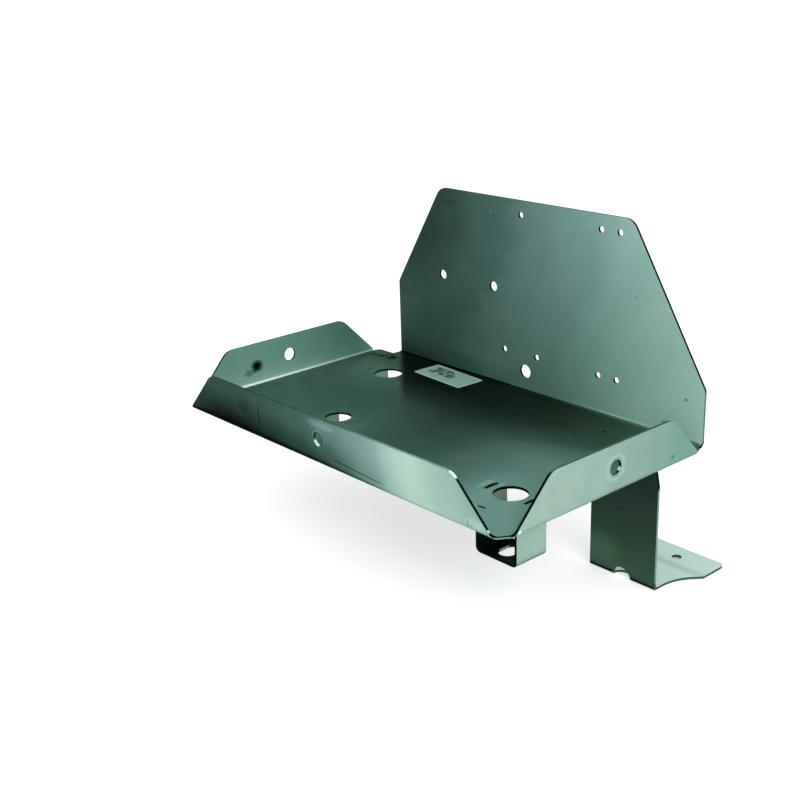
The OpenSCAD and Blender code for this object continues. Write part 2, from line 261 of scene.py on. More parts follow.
class Sheet:
    """A folded sheet, gathered as matching points on its outer and inner side."""

    def __init__(self, place=None):
        self.pairs = []
        self.known = {}
        self.faces = []
        self.place = place or (lambda point: point)

    def point(self, outer, inner):
        """The number of a pair of points, which neighbouring panels share."""
        pair = (Vector(self.place(outer)), Vector(self.place(inner)))
        key = tuple(round(value, 3) for side in pair for value in side)
        if key not in self.known:
            self.known[key] = len(self.pairs)
            self.pairs.append(pair)
        return self.known[key]

    def panel(self, outline, holes, lift):
        """A flat area with holes. lift turns a flat point into its outer and inner points."""
        rims = []
        for hole in holes:
            middle = sum((Vector(corner) for corner in hole), Vector((0, 0))) / len(hole)
            size = max((Vector(corner) - middle).length for corner in hole)
            rims.append([tuple(middle + (Vector(corner) - middle) * (1 + 1 / size)) for corner in hole])
            for i in range(len(hole)):
                corners = (hole[i - 1], hole[i], rims[-1][i], rims[-1][i - 1])
                self.faces.append([self.point(*lift(*corner)) for corner in corners])
        loops = [[Vector((x, y, 0)) for x, y in loop] for loop in [outline, *rims]]
        numbers = [self.point(*lift(corner.x, corner.y)) for loop in loops for corner in loop]
        for triangle in tessellate_polygon(loops):
            corners = [numbers[i] for i in triangle]
            if len(set(corners)) == 3:
                self.faces.append(corners)

    def strip(self, rows):
        """A curved area between rows of pairs."""
        numbered = [[self.point(*pair) for pair in row] for row in rows]
        for low, high in zip(numbered, numbered[1:]):
            for i in range(len(low) - 1):
                corners = []
                for number in (low[i], low[i + 1], high[i + 1], high[i]):
                    if number not in corners:
                        corners.append(number)
                if len(corners) > 2:
                    self.faces.append(corners)

    def fill(self, bm):
        """Adds both sides of the sheet and its cut edges to a mesh."""
        sides = [[bm.verts.new((pair[side] - ORIGIN) * MM) for pair in self.pairs] for side in (0, 1)]
        edges = {}
        for corners in self.faces:
            bm.faces.new([sides[1][i] for i in corners]).material_index = 0
            bm.faces.new([sides[0][i] for i in reversed(corners)]).material_index = 0
            for a, b in zip(corners, corners[1:] + corners[:1]):
                edges.setdefault(frozenset((a, b)), []).append((a, b))
        for uses in edges.values():
            if len(uses) == 1:
                a, b = uses[0]
                bm.faces.new((sides[0][a], sides[0][b], sides[1][b], sides[1][a])).material_index = 1


def finish_mesh(bm, name, materials, softening=EDGE_SOFTENING):
    """Turns a closed mesh into a named piece with softened edges, riding on the tray's one body."""
    bmesh.ops.recalc_face_normals(bm, faces=bm.faces)
    for face in bm.faces:
        face.smooth = True
    mesh = bpy.data.meshes.new(name)
    bm.to_mesh(mesh)
    bm.free()
    for material in materials:
        mesh.materials.append(material)
    piece = bpy.data.objects.new(name, mesh)
    bpy.context.scene.collection.objects.link(piece)
    bevel = piece.modifiers.new("Softened edges", "BEVEL")
    bevel.width = softening
    bevel.segments = 2
    bevel.limit_method = "ANGLE"
    bevel.angle_limit = math.radians(50)
    bevel.harden_normals = True
    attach(piece, "root")
    return piece


def lip_lift(turn, sheet):
    """Lifts the flat outline of a plate that rises from a fold, in X and slant height."""

    def lift(x, up):
        outer = (x, math.cos(turn) * -up, up * math.sin(turn))
        inner = (x, outer[1] + sheet * math.sin(turn), outer[2] + sheet * math.cos(turn))
        return outer, inner

    return lift


def fold_rows(turn, r, sheet, low, high, rows=FOLD_ROWS):
    """Rows of a fold along X, from the floor to the plate. low and high are the X of its ends."""
    out = r + sheet
    back = setback(turn, out)
    result = []
    for i in range(rows + 1):
        share = i / rows
        angle = turn * share
        row = []
        for end in range(len(low)):
            x = low[end] + (high[end] - low[end]) * share
            row.append(
                (
                    (x, back - out * math.sin(angle), out - out * math.cos(angle)),
                    (x, back - r * math.sin(angle), out - r * math.cos(angle)),
                )
            )
        result.append(row)
    return result


def flat_lift(sheet, base=0.0):
    """Lifts a level outline, in X and Y."""
    return lambda x, y: ((x, y, base), (x, y, base + sheet))


# Places of the feet and the holes, in the tray's own millimetres

FRONT_BEVEL = (7.8, 0.96)
SIDE_BEVEL = (9.8, 0.93)
REAR_BEVEL_RUN = 0.99
SIDE_REAR_GAP = 13.2
FLANGE_HOLE_D = 11.0
SIDE_HOLE = (104.7, 19.0)
FRONT_HOLE = (174.3, 19.8)
WALL_LEFT = 26.0
WALL_RIGHT_GAP = 5.6
WALL_KNEES = (67.6, 42.8)
WALL_BEVELS = (53.7, 67.5)
WALL_HOLES = (
    (81.4, 81.9, 8.0),
    (139.8, 81.9, 8.0),
    (169.4, 143.3, 5.0),
    (152.1, 32.3, 5.0),
    (186.7, 32.3, 5.0),
    (248.7, 32.3, 5.0),
    (266.1, 32.3, 5.0),
    (248.7, 143.3, 5.0),
    (266.1, 143.3, 5.0),
    (174.9, 18.2, 11.0),
)
WALL_CORNER_R = 12.0
WALL_KNEE_R = 6.0
# How far the ends of the wall's fold lie to the left of the wall's own ends
WALL_FOLD_SHIFT = (3.2, 0.6)
# From the wall's front face to the rear edge of the floor beside the wall's fold
EAR_GAP = 6.9
RIGHT_RELIEF_R = 2.5
LEFT_RELIEF_R = 1.2
LEFT_EAR_R = 5.0
FOOT_PLACES = {
    "foot_front_right": (304.5, 55.3),
    "foot_front_left": (111.7, 66.6),
    "foot_rear_left": (60.9, 162.2),
}
FOOT_CORNER_R = 1.0
TAB_GAP = 0.2
# How far the tabs end below the top of the floor
TAB_DROP = 0.15
LEG_FRONT = 151.8
LEG_FOLD_R = 0.5
LEG_FOLD_ROWS = 8
LEG_TAB_SPACING = 32.0
LEG_TAB_W = 12.0
LEG_TAPER = (2.1, 10.2)
LEG_RELIEF_R = 8.0
LEG_BOLT_HOLE = (332.4, 201.6, 7.0)
LEG_FLARE_START = 9.7
LEG_STEP = (35.5, 6.0)
PLATE_CORNER_RADII = (5.0, 1.0)
NOTCH_STEPS = 20
FLARE_STEPS = 12


def flange_fold(s):
    """A flange's turn, how far its fold begins behind the corner, and the fold's length."""
    turn = math.pi / 2 - s.flange_lean
    return turn, setback(turn, s.fold_r + s.sheet), turn * (s.fold_r + s.sheet / 2)


def floor_holes(s, foot, leg):
    """The floor's spanner holes, and its slots for the tabs of the feet and the leg."""
    holes = []
    for node, (x, y) in FOOT_PLACES.items():
        holes.append(circle(x, y, s.small_access_d if node == "foot_front_left" else s.access_d))
        for side in (-1, 1):
            tab_x = x + side * (foot.width / 2 - s.sheet / 2)
            holes.append(box_outline(tab_x, y, s.sheet + 2 * TAB_GAP, foot.tab_w + 2 * TAB_GAP))
    leg_middle = s.length - leg.width / 2
    for side in (-1, 1):
        tab_x = leg_middle + side * LEG_TAB_SPACING / 2
        tab_y = LEG_FRONT + s.sheet / 2
        holes.append(box_outline(tab_x, tab_y, LEG_TAB_W + 2 * TAB_GAP, s.sheet + 2 * TAB_GAP))
    return holes


def floor_outline(s, fold_ends):
    """The flat part of the floor, with its relieved rear corners. fold_ends is the X of the wall's fold."""
    _, back, arc = flange_fold(s)
    front_low = FRONT_BEVEL[0] + FRONT_BEVEL[1] * (back - arc)
    side_low = SIDE_BEVEL[0] + SIDE_BEVEL[1] * (back - arc)
    side_end = s.depth - SIDE_REAR_GAP
    ear_y = s.depth - EAR_GAP
    right = s.length - back
    rear = s.depth - s.fold_r
    return rounded(
        [
            (front_low, back),
            (s.length - front_low, back),
            (right, side_low),
            (right, side_end),
            (right, ear_y),
            (fold_ends[1], rear),
            (fold_ends[0], rear),
            (fold_ends[0], ear_y),
            (back, ear_y),
            (back, side_end),
            (back, side_low),
        ],
        [0, 0, 0, 0, RIGHT_RELIEF_R, 0, 0, LEFT_RELIEF_R, LEFT_EAR_R, 0, 0],
    )


def add_flange(tray, s, starts, runs, straight, hole):
    """A flange between two starts along X, with the run of each end's bevel, or a straight end."""
    turn, back, arc = flange_fold(s)
    high = (starts[0] + runs[0] * back, starts[1] - runs[1] * back)
    low = (
        high[0] - (0 if straight[0] else runs[0] * arc),
        high[1] + (0 if straight[1] else runs[1] * arc),
    )
    tray.strip(fold_rows(turn, s.fold_r, s.sheet, low, high))
    rise = s.flange_h - back
    outline = rounded(
        [
            (high[0], back),
            (high[1], back),
            (high[1] - runs[1] * rise, s.flange_h),
            (high[0] + runs[0] * rise, s.flange_h),
        ],
        [0, 0, s.flange_corner_r, s.flange_corner_r],
    )
    tray.panel(outline, [circle(*hole, FLANGE_HOLE_D)], lip_lift(turn, s.sheet))


def add_wall(tray, s, fold_ends, ends):
    """The high wall with its bevelled corners, on a fold that ends a little to its left."""
    tray.strip(fold_rows(math.pi / 2, s.fold_r, s.sheet, fold_ends, ends))
    low = s.fold_r + s.sheet
    outline = rounded(
        [
            (ends[0], low),
            (ends[1], low),
            (ends[1], WALL_KNEES[1]),
            (ends[1] - WALL_BEVELS[1], s.wall_h),
            (ends[0] + WALL_BEVELS[0], s.wall_h),
            (ends[0], WALL_KNEES[0]),
        ],
        [0, 0, WALL_KNEE_R, WALL_CORNER_R, WALL_CORNER_R, WALL_KNEE_R],
    )
    tray.panel(outline, [circle(*hole) for hole in WALL_HOLES], lip_lift(math.pi / 2, s.sheet))


def build_tray_mesh(bm, s, foot, leg):
    """The floor, its three flanges and the wall, as one folded sheet."""
    ends = (WALL_LEFT, s.length - WALL_RIGHT_GAP)
    fold_ends = (ends[0] - WALL_FOLD_SHIFT[0], ends[1] - WALL_FOLD_SHIFT[1])
    tray = Sheet()
    tray.panel(floor_outline(s, fold_ends), floor_holes(s, foot, leg), flat_lift(s.sheet))

    front_ends = (FRONT_BEVEL[0], s.length - FRONT_BEVEL[0])
    add_flange(tray, s, front_ends, (FRONT_BEVEL[1], FRONT_BEVEL[1]), (False, False), FRONT_HOLE)
    side_end = s.depth - SIDE_REAR_GAP + REAR_BEVEL_RUN * flange_fold(s)[1]
    side = ((SIDE_BEVEL[0], side_end), (SIDE_BEVEL[1], REAR_BEVEL_RUN), (False, True), SIDE_HOLE)
    tray.place = lambda p: (p[1], p[0], p[2])
    add_flange(tray, s, *side)
    tray.place = lambda p: (s.length - p[1], p[0], p[2])
    add_flange(tray, s, *side)

    tray.place = lambda p: (p[0], s.depth + s.sheet - p[1], p[2])
    add_wall(tray, s, fold_ends, ends)
    tray.fill(bm)


def build_foot_mesh(bm, foot, tray, x, y, height):
    """A U-shaped foot with a slot in its bottom and a tab on each wall."""
    out = tray.fold_r + tray.sheet
    flat = foot.width / 2 - out
    half = foot.depth / 2
    shape = Sheet(lambda p: (x + p[0], y + p[1], p[2]))
    bottom = [(-flat, -half), (flat, -half), (flat, half), (-flat, half)]
    shape.panel(bottom, [slot_outline(0, 0, foot.slot_w, foot.slot_l)], flat_lift(tray.sheet, -height))
    tab = foot.tab_w / 2
    wall = rounded(
        [
            (-half, out),
            (half, out),
            (half, height),
            (tab, height),
            (tab, height + tray.sheet - TAB_DROP),
            (-tab, height + tray.sheet - TAB_DROP),
            (-tab, height),
            (-half, height),
        ],
        [0, 0, FOOT_CORNER_R, 0, 0, 0, 0, FOOT_CORNER_R],
        segments=4,
    )
    for side in (1, -1):
        shape.place = lambda p, side=side: (
            x + side * (foot.width / 2 - p[1]),
            y + side * p[0],
            p[2] - height,
        )
        shape.strip(fold_rows(math.pi / 2, tray.fold_r, tray.sheet, (-half, half), (-half, half)))
        shape.panel(wall, [], lip_lift(math.pi / 2, tray.sheet))
    shape.fill(bm)


def leg_fold_edge(left, right, out):
    """The leg's edge along its bottom fold, from left to right, with the half-round relief between."""
    middle = (left + right) / 2
    start = math.asin(out / LEG_RELIEF_R)
    angles = [start + (math.pi - 2 * start) * i / NOTCH_STEPS for i in range(NOTCH_STEPS + 1)]
    notch = [(middle - LEG_RELIEF_R * math.cos(angle), LEG_RELIEF_R * math.sin(angle)) for angle in angles]
    return [(left, out), *notch, (right, out)]


def upright_outline(leg, sheet, fold_edge):
    """The leg's upright, with its tapered top corners and its two tabs."""
    left, right = fold_edge[0][0], fold_edge[-1][0]
    top = leg.height
    tab_top = top + sheet - TAB_DROP
    outline = [*fold_edge, (right, top - LEG_TAPER[1]), (right - LEG_TAPER[0], top)]
    for side in (1, -1):
        tab_x = (left + right) / 2 + side * LEG_TAB_SPACING / 2
        tab_left, tab_right = tab_x - LEG_TAB_W / 2, tab_x + LEG_TAB_W / 2
        outline += [(tab_right, top), (tab_right, tab_top), (tab_left, tab_top), (tab_left, top)]
    return [*outline, (left + LEG_TAPER[0], top), (left, top - LEG_TAPER[1])]


def add_foot_plate(shape, leg, sheet, fold_edge):
    """The leg's foot plate: flat at first, then a small step up, and wide behind, with the bolt hole."""
    left, right = fold_edge[0][0], fold_edge[-1][0]
    step_start, step_length = LEG_STEP
    step_end = step_start + step_length
    flare_reach = math.sqrt(leg.flare_r**2 - (leg.flare_r - leg.flare) ** 2)
    flare_end = LEG_FLARE_START + flare_reach

    def edge(y):
        """The point at this depth on the right edge, which widens on a curve."""
        reach = min(max(y - LEG_FLARE_START, 0), flare_reach)
        return right + leg.flare_r - math.sqrt(leg.flare_r**2 - reach**2), y

    def raised(x, y):
        """The lower and upper point of the plate, raised behind its small step."""
        share = min(max((y - step_start) / step_length, 0), 1)
        lift = leg.step_h * share * share * (3 - 2 * share)
        return (x, y, lift), (x, y, lift + sheet)

    flare_step = (step_start - LEG_FLARE_START) / FLARE_STEPS
    curve = [edge(LEG_FLARE_START + flare_step * i) for i in range(FLARE_STEPS + 1)]
    shape.panel([*fold_edge, *curve, (left, step_start)], [], flat_lift(sheet))

    places = [step_start + step_length * i / STEP_ROWS for i in range(STEP_ROWS + 1)]
    shape.strip([[raised(left, y), raised(*edge(y))] for y in places])

    rear_curve = []
    if flare_end > step_end:
        rear_curve = [edge(step_end + (flare_end - step_end) * i / 3) for i in (1, 2)]
    rear = rounded(
        [
            (left, step_end),
            edge(step_end),
            *rear_curve,
            (right + leg.flare, leg.plate_l),
            (left, leg.plate_l),
        ],
        [0, 0, *[0 for _ in rear_curve], *PLATE_CORNER_RADII],
        segments=8,
    )
    hole = circle(LEG_BOLT_HOLE[0], LEG_BOLT_HOLE[1] - LEG_FRONT, LEG_BOLT_HOLE[2])
    shape.panel(rear, [hole], raised)


def build_leg_mesh(bm, leg, tray):
    """The tall leg with its relieved bottom fold and its flared foot plate."""
    fold_edge = leg_fold_edge(tray.length - leg.width, tray.length, LEG_FOLD_R + tray.sheet)
    shape = Sheet(lambda p: (p[0], LEG_FRONT + p[1], p[2] - leg.height))
    shape.panel(upright_outline(leg, tray.sheet, fold_edge), [], lip_lift(math.pi / 2, tray.sheet))
    for start, end in (fold_edge[:2], fold_edge[-2:]):
        ends = (start[0], end[0])
        shape.strip(fold_rows(math.pi / 2, LEG_FOLD_R, tray.sheet, ends, ends, LEG_FOLD_ROWS))
    add_foot_plate(shape, leg, tray.sheet, fold_edge)
    shape.fill(bm)


# Shader node helpers


class Nodes:
    """Adds nodes to a tree and wires them by name."""

    def __init__(self, tree):
        self.tree = tree

    def add(self, kind, inputs=None, **options):
        """A new node, with its options set and its inputs wired."""
        node = self.tree.nodes.new(kind)
        for name, value in options.items():
            setattr(node, name, value)
        for name, value in (inputs or {}).items():
            self.wire(value, node.inputs[name])
        return node

    def wire(self, value, socket):
        """Links an output to a socket, or sets the socket to a plain value."""
        if isinstance(value, bpy.types.NodeSocket):
            self.tree.links.new(value, socket)
        elif socket.type == "RGBA" and isinstance(value, float):
            socket.default_value = (value, value, value, 1.0)
        else:
            socket.default_value = value

    def math(self, operation, a, b=0.0, c=0.0, clamp=False):
        node = self.add("ShaderNodeMath", operation=operation, use_clamp=clamp)
        for socket, value in zip(node.inputs, (a, b, c)):
            self.wire(value, socket)
        return node.outputs[0]

    def vector(self, operation, a, b):
        node = self.add("ShaderNodeVectorMath", {0: a, 1: b}, operation=operation)
        return node.outputs[0]

    def noise(self, place, scale, detail, roughness=0.5):
        """A soft noise over the places."""
        inputs = {"Vector": place, "Scale": scale, "Detail": detail, "Roughness": roughness}
        return self.add("ShaderNodeTexNoise", inputs).outputs[0]

    def mix(self, factor, a, b, blend="MIX"):
        node = self.add("ShaderNodeMix", data_type="RGBA", blend_type=blend, clamp_factor=True)
        self.wire(factor, node.inputs[0])
        self.wire(a, node.inputs[6])
        self.wire(b, node.inputs[7])
        return node.outputs[2]

    def profile(self, value, points):
        """A value that changes smoothly between the given places along another value."""
        low, high = points[0][0], points[-1][0]
        share = self.add("ShaderNodeMapRange", {"Value": value, "From Min": low, "From Max": high})
        node = self.add("ShaderNodeValToRGB", {"Fac": share.outputs[0]})
        node.color_ramp.interpolation = "B_SPLINE"
        most = max(1.0, max(level for _, level in points))
        stops = [((place - low) / (high - low), [level / most] * 3) for place, level in points]
        self.fill_ramp(node, stops)
        return self.math("MULTIPLY", node.outputs[0], most) if most > 1.0 else node.outputs[0]

    def fill_ramp(self, node, stops):
        """Sets the stops of a colour ramp, each a position and a colour."""
        elements = node.color_ramp.elements
        while len(elements) < len(stops):
            elements.new(0.5)
        for element, (position, colour) in zip(elements, stops):
            element.position = position
            element.color = (*colour, 1.0)

    def smooth(self, value, low, high, to_low=0.0, to_high=1.0):
        """A value that goes smoothly from one level to another between two places."""
        inputs = {"Value": value, "From Min": low, "From Max": high, "To Min": to_low, "To Max": to_high}
        node = self.add("ShaderNodeMapRange", inputs, interpolation_type="SMOOTHSTEP", clamp=True)
        return node.outputs[0]


def new_group(name, inputs, outputs):
    """An empty shader node group with these sockets."""
    tree = bpy.data.node_groups.new(name, "ShaderNodeTree")
    for socket_name, kind, default in inputs:
        socket = tree.interface.new_socket(socket_name, in_out="INPUT", socket_type=kind)
        if default is not None:
            socket.default_value = default
    for socket_name, kind in outputs:
        tree.interface.new_socket(socket_name, in_out="OUTPUT", socket_type=kind)
    return tree, tree.nodes.new("NodeGroupInput"), tree.nodes.new("NodeGroupOutput")


def place_group():
    """Position in the tray's own millimetres."""
    name = "Tray place"
    if name in bpy.data.node_groups:
        return bpy.data.node_groups[name]
    outputs = [("Place", "NodeSocketVector"), *[(axis, "NodeSocketFloat") for axis in "XYZ"]]
    tree, _, out = new_group(name, [], outputs)
    n = Nodes(tree)
    place = n.add("ShaderNodeTexCoord").outputs["Object"]
    scaled = n.vector("MULTIPLY", place, (1000.0, 1000.0, 1000.0))
    moved = n.vector("ADD", scaled, tuple(ORIGIN))
    split = n.add("ShaderNodeSeparateXYZ", {0: moved})
    n.wire(moved, out.inputs["Place"])
    for i, axis in enumerate("XYZ"):
        n.wire(split.outputs[i], out.inputs[axis])
    return tree


def spot_group():
    """A soft spot round a place, with a ragged edge. 1 at its middle and 0 outside."""
    name = "Soft spot"
    if name in bpy.data.node_groups:
        return bpy.data.node_groups[name]
    tree, given, out = new_group(
        name,
        [
            ("Place", "NodeSocketVector", None),
            ("Middle", "NodeSocketVector", None),
            ("Reach", "NodeSocketVector", (5.0, 5.0, 5.0)),
            ("Raggedness", "NodeSocketFloat", 0.3),
            ("Core", "NodeSocketFloat", 0.3),
        ],
        [("Mask", "NodeSocketFloat")],
    )
    n = Nodes(tree)
    away = n.vector("SUBTRACT", given.outputs["Place"], given.outputs["Middle"])
    scaled = n.vector("DIVIDE", away, given.outputs["Reach"])
    length = n.add("ShaderNodeVectorMath", {0: scaled}, operation="LENGTH").outputs["Value"]
    noise = n.noise(given.outputs["Place"], 0.45, 4.0, 0.6)
    ragged = n.math("MULTIPLY", n.math("SUBTRACT", noise, 0.5), given.outputs["Raggedness"])
    edge = n.math("MULTIPLY_ADD", ragged, 4.0, length)
    n.wire(n.smooth(edge, 1.0, given.outputs["Core"]), out.inputs["Mask"])
    return tree


def ring_group():
    """A soft ring round a place."""
    name = "Soft ring"
    if name in bpy.data.node_groups:
        return bpy.data.node_groups[name]
    tree, given, out = new_group(
        name,
        [
            ("Place", "NodeSocketVector", None),
            ("Middle", "NodeSocketVector", None),
            ("Radius", "NodeSocketFloat", 10.0),
            ("Width", "NodeSocketFloat", 1.0),
        ],
        [("Mask", "NodeSocketFloat")],
    )
    n = Nodes(tree)
    away = n.vector("SUBTRACT", given.outputs["Place"], given.outputs["Middle"])
    length = n.add("ShaderNodeVectorMath", {0: away}, operation="LENGTH").outputs["Value"]
    off = n.math("ABSOLUTE", n.math("SUBTRACT", length, given.outputs["Radius"]))
    n.wire(n.smooth(off, given.outputs["Width"], 0.0), out.inputs["Mask"])
    return tree


def grain_group():
    """Rolled sheet: a fine grain, faint rolling streaks along one axis and a slow mottle."""
    name = "Rolled sheet"
    if name in bpy.data.node_groups:
        return bpy.data.node_groups[name]
    tree, given, out = new_group(
        name,
        [("Place", "NodeSocketVector", None), ("Streak Along", "NodeSocketVector", (0.02, 1.0, 1.0))],
        [("Grain", "NodeSocketFloat"), ("Streaks", "NodeSocketFloat"), ("Mottle", "NodeSocketFloat")],
    )
    n = Nodes(tree)
    place = given.outputs["Place"]
    stretched = n.vector("MULTIPLY", place, given.outputs["Streak Along"])
    n.wire(n.noise(place, 1.1, 4.0, 0.7), out.inputs["Grain"])
    n.wire(n.noise(stretched, 0.5, 5.0, 0.6), out.inputs["Streaks"])
    n.wire(n.noise(place, 0.06, 3.0, 0.5), out.inputs["Mottle"])
    return tree


def group_node(n, tree, **inputs):
    """A node of a group, with its inputs by name."""
    node = n.add("ShaderNodeGroup")
    node.node_tree = tree
    for name, value in inputs.items():
        n.wire(value, node.inputs[name.replace("_", " ")])
    return node


def new_material(name):
    """An empty material with one Principled shader."""
    material = bpy.data.materials.new(name)
    material.use_nodes = True
    material.node_tree.nodes.clear()
    n = Nodes(material.node_tree)
    shader = n.add("ShaderNodeBsdfPrincipled")
    n.add("ShaderNodeOutputMaterial", {"Surface": shader.outputs[0]})
    return material, n, shader


# Finishes

# The green-grey cast of the steel, from dark to pale: the position and the linear colour of each stop
STEEL_STOPS = (
    (0.00, (0.0010, 0.0020, 0.0014)),
    (0.07, (0.0030, 0.0060, 0.0042)),
    (0.20, (0.0152, 0.0343, 0.0262)),
    (0.34, (0.0423, 0.0953, 0.0742)),
    (0.47, (0.0887, 0.1845, 0.1529)),
    (0.67, (0.2423, 0.4020, 0.3564)),
    (0.78, (0.3916, 0.5776, 0.4969)),
    (0.90, (0.6105, 0.7835, 0.6867)),
    (1.00, (0.8714, 1.0000, 0.9301)),
)
# How much the grain, the rolling streaks and the mottle change the tone
GRAIN_SHARES = (("Mottle", 0.055), ("Streaks", 0.035), ("Grain", 0.05))
WHITE = (1.0, 1.0, 1.0, 1.0)
OLIVE = (1.03, 1.0, 0.75, 1.0)


def tint(red, blue):
    """A colour that shifts the steel's cast."""
    return (red, 1.0, blue, 1.0)


class Place:
    """The places on the tray that one material's tones and marks are laid out by."""

    def __init__(self, n):
        node = group_node(n, place_group())
        self.n = n
        self.where = node.outputs["Place"]
        self.x, self.y, self.z = (node.outputs[axis] for axis in "XYZ")

    def spot(self, middle, reach, ragged=0.2, core=0.3):
        """A soft spot, plain as far as its core and fading out to its reach."""
        shape = {"Middle": middle, "Reach": reach, "Raggedness": ragged, "Core": core}
        return group_node(self.n, spot_group(), Place=self.where, **shape).outputs[0]

    def ring(self, middle, radius, width):
        """A soft ring round a hole."""
        shape = {"Middle": middle, "Radius": radius, "Width": width}
        return group_node(self.n, ring_group(), Place=self.where, **shape).outputs[0]

    def band(self, value, low, high, soft):
        """1 between two places along an axis, with soft ends."""
        inside = self.n.smooth(value, low - soft, low + soft)
        return self.n.math("MULTIPLY", inside, self.n.smooth(value, high + soft, high - soft))

    def lay(self, tone, mask, amount):
        """A tone made paler, or darker where the amount is below 0, as far as a mask reaches."""
        return self.n.math("MULTIPLY_ADD", mask, amount, tone)


def steel_material(name, paint, streaks, roughness=0.42):
    """Satin sheet steel. paint gives its tone, from 0, dark, to 1, pale, with painted light and shade laid
    in by place, and its tint for each place.
    """
    material, n, shader = new_material(name)
    place = Place(n)
    grain = group_node(n, grain_group(), Place=place.where, Streak_Along=streaks)
    tone, cast = paint(n, place)
    for part, share in GRAIN_SHARES:
        tone = n.math("MULTIPLY_ADD", n.math("SUBTRACT", grain.outputs[part], 0.5), share, tone)
    ramp = n.add("ShaderNodeValToRGB", {"Fac": tone})
    ramp.color_ramp.interpolation = "CARDINAL"
    n.fill_ramp(ramp, STEEL_STOPS)
    n.wire(n.mix(1.0, ramp.outputs[0], cast, "MULTIPLY"), shader.inputs["Base Color"])
    shader.inputs["Metallic"].default_value = 0.6
    shader.inputs["IOR"].default_value = 1.15
    shader.inputs["Specular IOR Level"].default_value = 0.1
    shader.inputs["Specular Tint"].default_value = (0.18, 0.28, 0.24, 1.0)
    rough = n.math("MULTIPLY_ADD", n.math("SUBTRACT", grain.outputs["Streaks"], 0.5), 0.10, roughness)
    n.wire(rough, shader.inputs["Roughness"])
    height = n.math("MULTIPLY_ADD", grain.outputs["Grain"], 0.4, grain.outputs["Streaks"])
    bump = n.add("ShaderNodeBump", {"Height": height, "Strength": 0.06, "Distance": 0.0002})
    n.wire(bump.outputs[0], shader.inputs["Normal"])
    return material


def floor_tone(n, x, y):
    """Painted reflection and shade: dark beside the wall, where the wall is reflected, with a clear edge at
    its left end, and paler towards the front right corner as painted sheen.
    """
    rear = n.profile(x, [(4, 0.15), (110, 0.15), (150, 0.185), (210, 0.205), (270, 0.335), (346, 0.455)])
    # painted reflection of the wall, with a clear edge at the wall's left end
    left_of_wall = n.smooth(n.math("MULTIPLY_ADD", y, 1.12, x), 265.0, 254.0)
    rear = n.mix(left_of_wall, rear, n.smooth(y, 190.0, 160.0, 0.42, 0.48))
    middle = n.profile(
        x,
        [
            (4, 0.50), (60, 0.415), (105, 0.385), (140, 0.40),
            (175, 0.325), (210, 0.395), (270, 0.61), (346, 0.68),
        ],
    )
    front = n.profile(
        x,
        [
            (4, 0.48), (80, 0.44), (125, 0.50), (150, 0.44),
            (190, 0.355), (262, 0.54), (290, 0.72), (346, 0.64),
        ],
    )
    tone = n.mix(n.smooth(y, 175.0, 105.0), rear, middle)
    return n.mix(n.smooth(y, 120.0, 45.0), tone, front)


def floor_marks(n, place, tone):
    """Stains by the rear left corner, dark dashes over the front right foot's tabs with pale marks beside
    them, and specks.
    """
    for middle, reach, ragged, amount in (
        ((12.4, 188.1, 2.0), (7.0, 5.0, 4.0), 0.35, -0.14),
        ((21.5, 189.6, 2.0), (7.0, 6.0, 4.0), 0.40, -0.18),
        ((31.8, 191.8, 2.0), (6.5, 7.0, 4.0), 0.30, -0.27),
        ((25.0, 197.0, 2.0), (6.0, 5.0, 4.0), 0.40, -0.12),
        ((41.7, 158.5, 2.0), (4.0, 4.0, 4.0), 0.30, -0.10),
        ((276.9, 182.1, 2.0), (3.4, 1.7, 3.0), 0.20, -0.16),
        ((281.0, 56.0, 2.0), (3.6, 12.0, 3.0), 0.30, 0.10),
        ((290.5, 62.0, 2.0), (3.2, 6.0, 3.0), 0.30, 0.08),
        ((296.0, 24.8, 2.0), (8.0, 2.2, 3.0), 0.20, 0.08),
    ):
        tone = place.lay(tone, place.spot(middle, reach, ragged), amount)
    for middle, reach in (
        ((286.0, 55.8, 2.0), (1.7, 7.0, 3.0)),
        ((321.9, 55.4, 2.0), (1.5, 6.0, 3.0)),
        ((306.0, 27.2, 2.0), (4.4, 1.3, 3.0)),
    ):
        tone = place.lay(tone, place.spot(middle, reach, 0.12, 0.55), -0.5)
    return tone


def wall_tone(n, x, z):
    """Painted reflection: dark at the left and pale at the lower right."""
    low = n.profile(
        x,
        [
            (23, 0.36), (70, 0.41), (110, 0.47), (150, 0.59),
            (210, 0.68), (250, 0.83), (290, 0.94), (344, 0.99),
        ],
    )
    high = n.profile(x, [(23, 0.225), (84, 0.25), (165, 0.49), (215, 0.57), (270, 0.70), (344, 0.835)])
    tone = n.mix(n.smooth(z, 10.0, 130.0), low, high)
    # painted shade low down by the floor, left of the middle
    shade = n.math("MULTIPLY", n.smooth(z, 24.0, 4.0), n.smooth(x, 180.0, 140.0))
    return n.math("MULTIPLY_ADD", shade, -0.07, tone)


